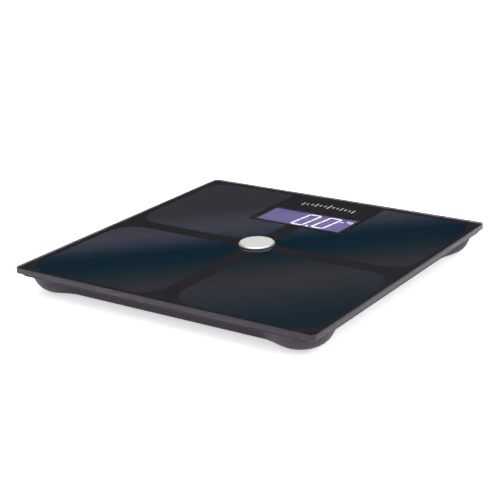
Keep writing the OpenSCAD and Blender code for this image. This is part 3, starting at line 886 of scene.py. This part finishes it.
@dataclass
class Studio:
    """Camera, floor and light. Sizes are in metres and degrees, powers in watts."""

    azimuth: float = 34.506
    elevation: float = 19.536
    roll: float = -1.916
    distance: float = 1.1419
    target: Size3 = (0.0034, -0.0158, 0.025)
    lens: float = 94.28
    clip: Point2 = (0.05, 50.0)
    floor_r: float = 9.0
    floor_sides: int = 96
    floor_glow: float = 0.62
    horizon: float = 0.005
    belt: float = 1.75
    zenith: float = 0.25
    below: float = 1.2
    lit_point: Size3 = (0.0, 0.0, 0.02)
    overhead_place: Size3 = (-0.3, 0.2, 2.1)
    overhead_side: float = 1.4
    overhead_power: float = 26.0
    right_place: Size3 = (1.9, -0.3, 1.25)
    right_side: float = 1.0
    right_power: float = 14.0

    def camera(self) -> None:
        """Makes the camera and aims it."""
        turn, rise = math.radians(self.azimuth), math.radians(self.elevation)
        flat = math.cos(rise)
        back = Vector((math.sin(turn) * flat, -math.cos(turn) * flat, math.sin(rise)))
        right = Vector((math.cos(turn), math.sin(turn), 0))
        up = back.cross(right)
        c, s = math.cos(math.radians(self.roll)), math.sin(math.radians(self.roll))
        axes = (right * c + up * s, up * c - right * s, back)
        turned = Matrix([[axis[row] for axis in axes] for row in range(3)])
        place = Vector(self.target) + back * self.distance
        data = bpy.data.cameras.new("camera")
        data.lens = self.lens
        data.clip_start, data.clip_end = self.clip
        camera = bpy.data.objects.new("camera", data)
        camera.matrix_world = Matrix.Translation(place) @ turned.to_4x4()
        bpy.context.scene.collection.objects.link(camera)
        bpy.context.scene.camera = camera

    def floor(self) -> None:
        """Makes the pale floor."""
        bm = bmesh.new()
        bmesh.ops.create_circle(
            bm, cap_ends=True, segments=self.floor_sides, radius=self.floor_r
        )
        mesh = to_mesh(bm, "floor")
        material = bpy.data.materials.new("pale_floor")
        material.use_nodes = True
        shader = Shader(material.node_tree)
        cloud = shader.noise(3.0, 2.0)
        inputs = {
            "Base Color": shader.mix(cloud, shade(0.90), shade(0.92)),
            "Roughness": 0.9,
            "Specular IOR Level": 0.0,
            "Emission Color": (*shade(1.0), OPAQUE),
            "Emission Strength": self.floor_glow,
        }
        surface = shader.node("ShaderNodeBsdfPrincipled", None, inputs)
        shader.node("ShaderNodeOutputMaterial", None, {"Surface": shader.wire(surface)})
        mesh.materials.append(material)
        floor = bpy.data.objects.new("floor", mesh)
        bpy.context.scene.collection.objects.link(floor)

    def sky(self) -> None:
        """Makes the dome: one bright belt, dark at the horizon, dim overhead, bright below the floor.

        Where the camera sees the dome itself, it is plain white.
        """
        world = bpy.data.worlds.new("studio")
        world.use_nodes = True
        bpy.context.scene.world = world
        shader = Shader(world.node_tree)
        direction = shader.wire(shader.node("ShaderNodeTexCoord"), "Generated")
        rise = shader.wire(shader.node("ShaderNodeSeparateXYZ", None, {0: direction}), "Z")
        overhead = rise.step(0.8, 0.97)
        belt = rise.step(0.42, 0.66) * (1.0 - overhead)
        under = 1.0 - rise.step(-0.3, -0.05)
        dome = self.horizon + belt * (self.belt - self.horizon)
        dome = dome + overhead * self.zenith + under * self.below
        seen = shader.wire(shader.node("ShaderNodeLightPath"), "Is Camera Ray")
        colour = shader.mix(seen, dome, shade(1.0))
        background = shader.node("ShaderNodeBackground", None, {"Color": colour})
        shader.node("ShaderNodeOutputWorld", None, {"Surface": shader.wire(background)})

    def lamp(self, name: str, place: Size3, side: float, watts: float) -> None:
        """Adds one soft square lamp that points at the scale.

        Args:
            name: the lamp's name.
            place: where it hangs.
            side: its side.
            watts: its power.
        """
        data = bpy.data.lights.new(name, "AREA")
        data.size = side
        data.energy = watts
        lamp = bpy.data.objects.new(name, data)
        lamp.location = place
        lamp.rotation_mode = "QUATERNION"
        aim = Vector(self.lit_point) - Vector(place)
        lamp.rotation_quaternion = aim.to_track_quat("-Z", "Y")
        lamp.visible_glossy = False
        bpy.context.scene.collection.objects.link(lamp)

    def build(self) -> None:
        """Makes everything that isn't the scale."""
        self.camera()
        self.floor()
        self.sky()
        self.lamp("overhead", self.overhead_place, self.overhead_side, self.overhead_power)
        self.lamp("right_side", self.right_place, self.right_side, self.right_power)
        bpy.context.scene.view_settings.view_transform = "Standard"


# ------------------------------------------------------------------ sub-assemblies


@dataclass
class Platform:
    """Glass slab with ground edges, and the print under it, one layer of which carries bands of
    painted reflection.
    """

    palette: Palette
    corner_r: float = 5.0 * MM
    arris: float = 0.45 * MM
    hole_arris: float = 0.12 * MM
    sunk: float = 0.2 * MM
    hole_gap: float = 0.4 * MM
    corner_steps: int = 10
    hole_sides: int = 128
    crease: float = 20.0

    @staticmethod
    def _levels(bottom: float, top: float, arris: float) -> list[Point2]:
        """(inset, height) of each ring of a wall with an arris at both ends, bottom to top."""
        return [(arris, bottom), (0, bottom + arris), (0, top - arris), (arris, top)]

    @staticmethod
    def _wall(
        bm: bmesh.types.BMesh,
        outline: Callable[[float], list[Point2]],
        levels: Sequence[Point2],
        finish: int,
    ) -> tuple[list, list]:
        """Makes one wall of the slab.

        Args:
            bm: edit mesh that gets the faces.
            outline: gives the points of a ring for its inset.
            levels: (inset, height) of each ring, bottom to top.
            finish: material index of the faces.

        Returns:
            The edges of the bottom ring and of the top ring.
        """
        rings = [[bm.verts.new((x, y, z)) for x, y in outline(inset)] for inset, z in levels]
        count = len(rings[0])
        for lower, upper in zip(rings, rings[1:]):
            for k in range(count):
                following = (k + 1) % count
                corners = (lower[k], lower[following], upper[following], upper[k])
                bm.faces.new(corners).material_index = finish
        ends = (rings[0], rings[-1])
        return tuple(
            [bm.edges.get((ring[k], ring[(k + 1) % count])) for k in range(count)] for ring in ends
        )

    def _slab(self) -> bpy.types.Mesh:
        """Mesh of the slab: faces of index 0 are polished, of index 1 ground."""
        low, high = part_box("glass_platform")
        cap_low, cap_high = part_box("button_cap")
        hole_r = (cap_high[0] - cap_low[0]) / 2 + self.hole_gap
        half, top, bottom = high[0], high[2], low[2] - self.sunk

        def outer(inset: float) -> list[Point2]:
            """Outline of the slab, moved in."""
            return rounded_square(half - inset, self.corner_r - inset, self.corner_steps)

        def hole(inset: float) -> list[Point2]:
            """Outline of the hole, moved out."""
            return circle(hole_r + inset, self.hole_sides)

        bm = bmesh.new()
        edge = self._wall(bm, outer, self._levels(bottom, top, self.arris), 1)
        bore = self._wall(bm, hole, self._levels(bottom, top, self.hole_arris), 0)
        for rim, hole_rim in zip(edge, bore):
            bmesh.ops.triangle_fill(bm, use_beauty=True, edges=rim + hole_rim)
        return to_mesh(bm, "glass_slab")

    def build(self) -> None:
        """Makes the slab and dresses the printed layers, the tint foil with bands of painted
        reflection.
        """
        new_piece(
            "glass_slab",
            self._slab(),
            (self.palette.glass, self.palette.ground_edge),
            Body.BASE.value,
            ["glass_platform"],
            self.crease,
        )
        dress("mask_print", self.palette.black_print)
        # The tint foil gets slanting bands of painted reflection over its print colours.
        dress("tint_foil", self.palette.print_with_painted_reflection)
        dress("dial_mark", self.palette.white_print)
        dress("mounting_tape", self.palette.tape)


@dataclass
class Tray:
    """Moulded tray, its skin smoothed over the CAD facets."""

    palette: Palette
    weld: float = 0.002 * MM
    crease: float = 33.0
    even: int = 50

    def build(self) -> None:
        """Makes the tray's skin from a merged copy of its CAD node."""
        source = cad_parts["base_tray"].data
        bm = bmesh.new()
        bm.from_mesh(source)
        bmesh.ops.remove_doubles(bm, verts=bm.verts, dist=self.weld)
        bmesh.ops.dissolve_degenerate(bm, edges=bm.edges, dist=self.weld)
        mesh = bpy.data.meshes.new("tray_shell")
        bm.to_mesh(mesh)
        bm.free()
        tray = new_piece(
            "tray_shell",
            mesh,
            [self.palette.tray],
            Body.BASE.value,
            ["base_tray"],
            self.crease,
        )
        weighted = tray.modifiers.new("even_normals", "WEIGHTED_NORMAL")
        weighted.keep_sharp = True
        weighted.weight = self.even


@dataclass
class Feet:
    """Rubber pads with ring grooves and studs, and the caps that hold them."""

    palette: Palette
    soft: float = 0.35 * MM
    groove_w: float = 0.8 * MM
    groove_t: float = 0.4 * MM
    stud_r: float = 0.3 * MM
    studs: int = 20
    more_studs: int = 12
    stud_gap: float = 0.03 * MM
    grooves: tuple[float, ...] = (4.0 * MM, 6.8 * MM)
    groove_taper: float = 0.7
    turns: int = 72
    crease: float = 40.0

    def _profile(self, radius: float, low: float, high: float) -> list[Point2]:
        """Lathe profile of a pad.

        Args:
            radius: the pad's radius.
            low: height of its sole.
            high: height of its top.

        Returns:
            Points from the middle of the sole to the middle of the top.
        """
        points = [(0.0, low)]
        wide, roof = self.groove_w / 2, low + self.groove_t
        narrow = wide * self.groove_taper
        for at in self.grooves:
            points += [(at - wide, low), (at - narrow, roof), (at + narrow, roof), (at + wide, low)]
        points += soft_corner(radius, low, self.soft)
        return points + [(radius, high), (0.0, high)]

    def _stud_tree(self) -> GeometryTree:
        """Tree that sets a ring of small round studs on a circle."""
        inputs = [
            ("Count", "NodeSocketInt", self.studs),
            ("Ring radius", "NodeSocketFloat", self.grooves[0]),
            ("Stud radius", "NodeSocketFloat", self.stud_r),
        ]
        tree = GeometryTree("sole_studs", inputs)
        ends = tree.start.outputs
        ring_inputs = {"Vertices": ends["Count"], "Radius": ends["Ring radius"]}
        ring = tree.node("GeometryNodeMeshCircle", None, ring_inputs)
        stud_inputs = {"Radius": ends["Stud radius"], "Subdivisions": 2}
        stud = tree.node("GeometryNodeMeshIcoSphere", None, stud_inputs)
        spread_inputs = {"Points": ring.outputs[0], "Instance": stud.outputs[0]}
        spread = tree.node("GeometryNodeInstanceOnPoints", None, spread_inputs)
        tree.finish(spread.outputs[0], self.palette.rubber.material())
        return tree

    def _set_studs(self, tree: GeometryTree, corner: Corner, place: Vector) -> None:
        """Sets the rings of studs in the grooves of one pad.

        Args:
            tree: the tree that makes a ring.
            corner: the pad's corner.
            place: middle of the studs.
        """
        for number, ring_r in enumerate(self.grooves):
            count = self.studs + self.more_studs * number
            values = {"Count": count, "Ring radius": ring_r, "Stud radius": self.stud_r}
            studs = tree.run(bpy.data.meshes.new("seed"), values)
            studs.transform(Matrix.Translation(place))
            name = f"pad_studs_{number}_{corner.value}"
            new_piece(name, studs, [self.palette.rubber], corner.body())

    def build(self) -> None:
        """Makes the four pads with their studs, and dresses the caps."""
        tree = self._stud_tree()
        rubber = [self.palette.rubber]
        for corner in Corner:
            node = corner.node("foot_pad")
            low, high = (Vector(p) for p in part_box(node))
            middle = (low + high) / 2
            bm = bmesh.new()
            lathe(bm, self._profile((high.x - low.x) / 2, low.z, high.z), middle, self.turns)
            name = f"pad_{corner.value}"
            pad = to_mesh(bm, name)
            new_piece(name, pad, rubber, corner.body(), [node], self.crease)
            height = low.z + self.stud_r + self.stud_gap
            self._set_studs(tree, corner, Vector((middle.x, middle.y, height)))
            dress(corner.node("foot_cap"), self.palette.dark_plastic)


@dataclass
class LoadCells:
    """Load cells, their clamps, wires and the potting over each strain gauge."""

    palette: Palette
    potting: Size3 = (3.2 * MM, 5.0 * MM, 0.9 * MM)
    lift: float = 0.01 * MM
    wave: float = 0.06
    most_lean: float = 0.15

    def _potting_mesh(self, corner: Corner) -> bpy.types.Mesh:
        """Rounded drop of silicone on the tongue of one load cell.

        Args:
            corner: the load cell's corner.

        Returns:
            The drop's mesh, a little different at each corner.
        """
        low, high = (Vector(p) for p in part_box(corner.node("load_cell")))
        middle = (low + high) / 2
        bm = bmesh.new()
        bmesh.ops.create_uvsphere(bm, u_segments=32, v_segments=16, radius=1)
        lean = random.Random(corner.value).uniform(-self.most_lean, self.most_lean)
        half_w, half_d, tall = self.potting
        for vert in bm.verts:
            x, y, z = vert.co
            swell = 1 + self.wave * math.sin(5 * x + 7 * y + 9 * lean)
            vert.co = (
                middle.x + half_w * x * swell,
                middle.y + half_d * y * swell + lean * MM,
                high.z + self.lift + max(z, 0) * tall * swell,
            )
        return to_mesh(bm, "potting")

    def build(self) -> None:
        """Dresses the load cells and makes the potting."""
        for corner in Corner:
            dress(corner.node("load_cell"), self.palette.steel)
            dress(corner.node("cell_holder"), self.palette.light_plastic)
            dress(corner.node("cell_wires"), self.palette.wires)
            name, drop = f"potting_{corner.value}", self._potting_mesh(corner)
            new_piece(name, drop, [self.palette.potting], Body.BASE.value)
        dress("holder_screws", self.palette.steel)


@dataclass
class FootButton:
    """Metal disc with a polished rim on its plastic plunger."""

    palette: Palette
    bevel_w: float = 0.9 * MM
    bevel_h: float = 1.45 * MM
    blunt: float = 0.08 * MM
    edge: float = 0.15 * MM
    dish: float = 0.05 * MM
    dish_steps: int = 6
    turns: int = 160
    crease: float = 25.0

    def _disc(self) -> bpy.types.Mesh:
        """Mesh of the disc: faces of index 1 are the rim and its wall, of index 0 the rest."""
        low, high = (Vector(p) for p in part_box("button_cap"))
        radius, bottom, top = high.x, low.z, high.z
        face_r = radius - self.bevel_w - self.blunt
        under = [(0.0, bottom), (radius - self.edge, bottom), (radius, bottom + self.edge)]
        rim = [
            (radius, top - self.bevel_h - self.blunt),
            (radius - self.blunt / 3, top - self.bevel_h + self.blunt / 2),
            (face_r + self.blunt, top - self.blunt),
            (face_r, top),
        ]
        shares = [1 - k / self.dish_steps for k in range(1, self.dish_steps + 1)]
        face = [(face_r * share, top - self.dish * (1 - share**2)) for share in shares]
        bm = bmesh.new()
        bands = lathe(bm, under + rim + face, Vector((0, 0, 0)), self.turns)
        first = len(under) - 1
        for band in bands[first : first + len(rim)]:
            for made in band:
                made.material_index = 1
        return to_mesh(bm, "press_disc")

    def build(self) -> None:
        """Makes the disc and dresses the plunger and its spring."""
        new_piece(
            "press_disc",
            self._disc(),
            (self.palette.disc, self.palette.rim),
            Body.FOOT_BUTTON.value,
            ["button_cap"],
            self.crease,
        )
        dress("button_carrier", self.palette.dark_plastic)
        dress("return_spring", self.palette.steel)


@dataclass
class Display:
    """Display window, its light and its digits."""

    palette: Palette

    def build(self) -> None:
        """Dresses the display's layers."""
        dress("display_bezel", self.palette.display_frame)
        dress("lcd_panel", self.palette.display)
        dress("digit_segments", self.palette.segment)
        dress("backlight", self.palette.light_guide)
        dress("display_pins", self.palette.brass)


@dataclass
class Electronics:
    """Board with its chips and small parts, unit switch, capacitors and leads."""

    palette: Palette
    part: Size3 = (1.6 * MM, 0.8 * MM, 0.5 * MM)
    columns: int = 9
    rows: int = 3
    field_w: float = 20 * MM
    field_d: float = 8 * MM
    field_x: float = -16 * MM
    field_in: float = 13 * MM
    part_gap: float = 0.02 * MM
    most_turn: float = 0.05
    seed: int = 7

    def _small_parts(self) -> bpy.types.Mesh:
        """Grid of small resistors on the board, by a tree."""
        inputs = [
            ("Columns", "NodeSocketInt", self.columns),
            ("Rows", "NodeSocketInt", self.rows),
            ("Width", "NodeSocketFloat", self.field_w),
            ("Depth", "NodeSocketFloat", self.field_d),
        ]
        tree = GeometryTree("small_parts", inputs)
        ends = tree.start.outputs
        grid_inputs = {"Vertices X": ends["Columns"], "Vertices Y": ends["Rows"]}
        grid_inputs.update({"Size X": ends["Width"], "Size Y": ends["Depth"]})
        grid = tree.node("GeometryNodeMeshGrid", None, grid_inputs)
        block = tree.node("GeometryNodeMeshCube", None, {"Size": self.part})
        turn_inputs = {0: (0, 0, -self.most_turn), 1: (0, 0, self.most_turn), "Seed": self.seed}
        turn = tree.node("FunctionNodeRandomValue", {"data_type": "FLOAT_VECTOR"}, turn_inputs)
        spread_inputs = {
            "Points": grid.outputs[0],
            "Instance": block.outputs[0],
            "Rotation": turn.outputs[0],
        }
        spread = tree.node("GeometryNodeInstanceOnPoints", None, spread_inputs)
        tree.finish(spread.outputs[0], self.palette.chip.material())
        return tree.run(bpy.data.meshes.new("seed"), {"Columns": self.columns, "Rows": self.rows})

    def build(self) -> None:
        """Dresses the electronics and sets the small parts on the board."""
        low, high = (Vector(p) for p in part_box("main_board"))
        parts = self._small_parts()
        height = high.z + self.part[2] / 2 + self.part_gap
        parts.transform(Matrix.Translation((self.field_x, low.y + self.field_in, height)))
        new_piece("board_parts", parts, [self.palette.chip], Body.BASE.value)
        dress("main_board", self.palette.board)
        for node in ("controller_chip", "amplifier_chip", "rectifier"):
            dress(node, self.palette.chip)
        dress("storage_capacitors", self.palette.sleeve)
        dress("switch_body", self.palette.chip)
        dress("switch_plunger", self.palette.light_plastic)
        dress("unit_button", self.palette.dark_plastic)
        dress("power_leads", self.palette.wires)
        dress("board_screws", self.palette.steel)


@dataclass
class Generator:
    """Gears, axles and generator under the foot button, with the finish of each node."""

    palette: Palette
    finishes: dict[str, str] = field(
        default_factory=lambda: {
            "generator_frame": "light_plastic",
            "first_gear": "gear_plastic",
            "second_gear": "gear_plastic",
            "first_axle": "steel",
            "second_axle": "steel",
            "rotor_shaft": "steel",
            "rotor_pinion": "brass",
            "rotor_armature": "winding",
            "generator_can": "steel",
            "generator_end_cap": "dark_plastic",
            "generator_magnets": "magnet",
            "frame_screws": "steel",
        }
    )

    def build(self) -> None:
        """Dresses every part of the generator."""
        for node, finish in self.finishes.items():
            dress(node, getattr(self.palette, finish))


def main() -> None:
    """Builds the scene in order."""
    logging.basicConfig(level=logging.INFO, format="%(name)s: %(message)s")
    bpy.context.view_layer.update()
    low, high = (Vector(p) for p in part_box("lcd_panel"))
    middle = (low + high) / 2
    palette = Palette(middle.y, (high.x - low.x) / 2, (high.y - low.y) / 2)
    Studio().build()
    for assembly in (Platform, Tray, Feet, LoadCells, FootButton, Display, Electronics, Generator):
        assembly(palette).build()
        LOG.info("finished %s", assembly.__name__)


if __name__ == "__main__":
    main()
